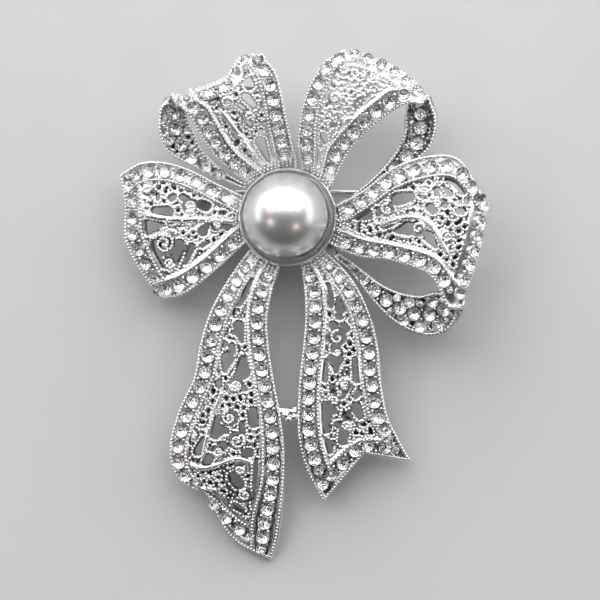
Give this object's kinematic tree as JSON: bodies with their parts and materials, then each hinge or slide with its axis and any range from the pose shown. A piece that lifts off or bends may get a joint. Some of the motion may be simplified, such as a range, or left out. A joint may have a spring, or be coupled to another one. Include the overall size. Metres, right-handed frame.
{
  "type": "bow brooch",
  "caption": "Ribbon bow brooch in pierced cast metal with borders of cut stones, a grey pearl in a polished dish at its centre, and a hinged pin with a catch on its back.",
  "frame": {"origin": "centre of the base plate's foot, on its flat back face and on the axis of the pearl's cup", "axes": "+X to the right and +Y up as the brooch is worn, +Z from the back towards the viewer; the tails hang towards -Y and the pin stem lies along X"},
  "size_m": [0.0564, 0.0773, 0.0177],
  "materials": {
    "cast_metal": "bright plated, slightly soft",
    "polished_metal": "mirror",
    "back_metal": "plated, plain",
    "cut_stone": "clear, foiled, faceted",
    "pearl": "light grey nacre"
  },
  "bodies": {
    "bow": {"base_plate": "back_metal", "pearl_cup": "polished_metal", "pearl": "pearl", "upper_left_loop": "cast_metal", "upper_right_loop": "cast_metal", "right_loop": "cast_metal", "left_petal": "cast_metal", "left_tail": "cast_metal", "right_tail": "cast_metal", "upper_left_stones": "cut_stone", "upper_right_stones": "cut_stone", "right_stones": "cut_stone", "petal_stones": "cut_stone", "left_tail_stones": "cut_stone", "right_tail_stones": "cut_stone", "pin_hinge": "back_metal", "pin_catch": "back_metal"},
    "pin": {"pin_stem": "back_metal"}
  },
  "joints": [
    {"name": "pin_swing", "type": "hinge", "parent": "bow", "child": "pin", "pos_m": [-0.014, 0.00405, -0.00125], "axis": [0, 1, 0], "range_deg": [0, 75]}
  ]
}
